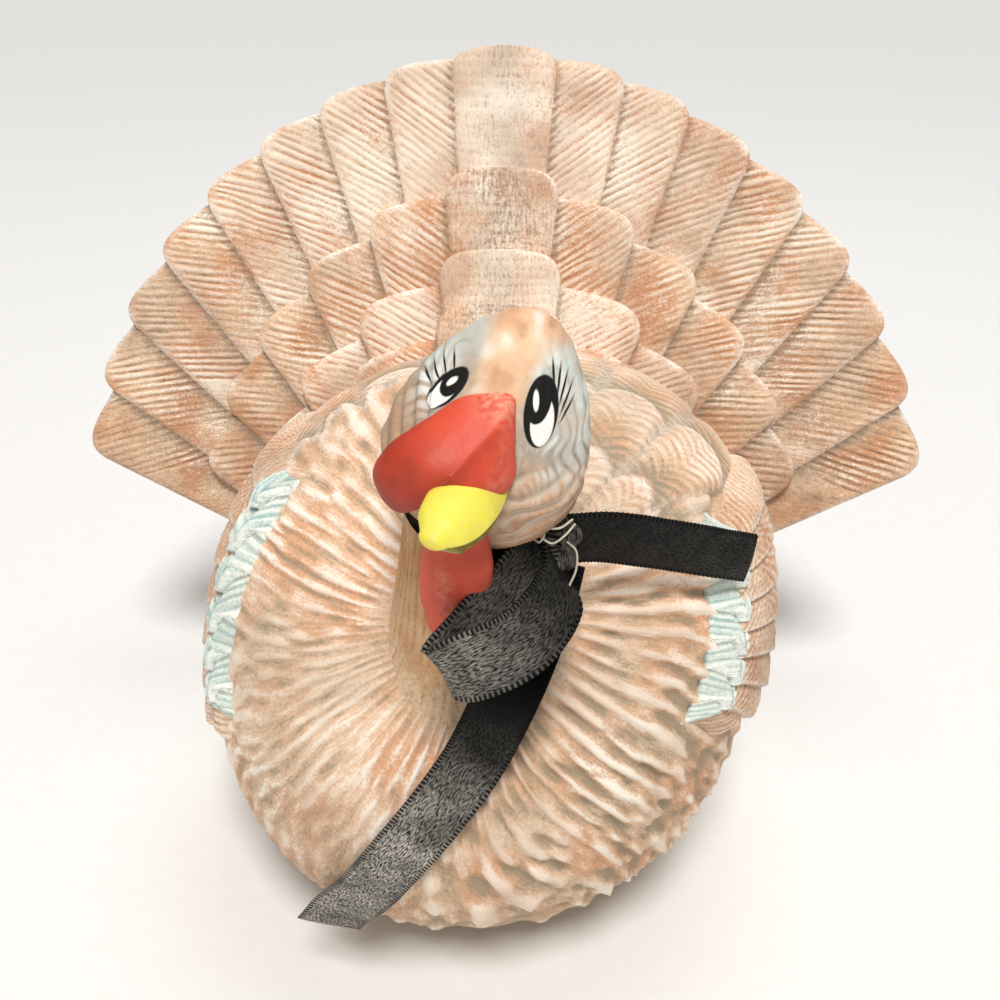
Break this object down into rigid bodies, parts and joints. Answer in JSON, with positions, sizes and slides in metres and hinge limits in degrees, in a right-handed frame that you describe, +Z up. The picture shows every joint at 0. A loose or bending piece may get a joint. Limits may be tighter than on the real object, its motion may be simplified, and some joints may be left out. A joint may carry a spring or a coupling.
{
  "type": "ceramic turkey figure",
  "caption": "Seated ceramic turkey with a spread tail fan, puffed breast, tilted head with red snood and yellow beak, and a black satin ribbon tied round its neck.",
  "frame": {"origin": "bottom centre of the whole figure, on the plane of its foot", "axes": "+Z up, the breast and face look along -Y, +X is to the right of somebody who faces the figure"},
  "size_m": [0.1936, 0.1448, 0.1559],
  "materials": {
    "painted_bisque": "matt, dry-brushed",
    "covert_paint": "matt, dry-brushed",
    "red_paint": "satin",
    "yellow_paint": "satin",
    "black_satin": "satin weave"
  },
  "bodies": {
    "root": {"body_shell": "painted_bisque", "tail_outer_row": "painted_bisque", "tail_middle_row": "painted_bisque", "tail_inner_row": "painted_bisque", "mantle_row": "painted_bisque", "left_wing_coverts": "covert_paint", "left_wing_primaries": "painted_bisque", "right_wing_coverts": "covert_paint", "right_wing_primaries": "painted_bisque", "neck": "painted_bisque", "head": "painted_bisque", "snood": "red_paint", "upper_beak": "yellow_paint", "lower_beak": "yellow_paint", "wattle": "red_paint", "ribbon_collar": "black_satin", "ribbon_knot": "black_satin", "ribbon_loop": "black_satin", "ribbon_short_tail": "black_satin", "ribbon_long_tail": "black_satin"}
  },
  "joints": []
}
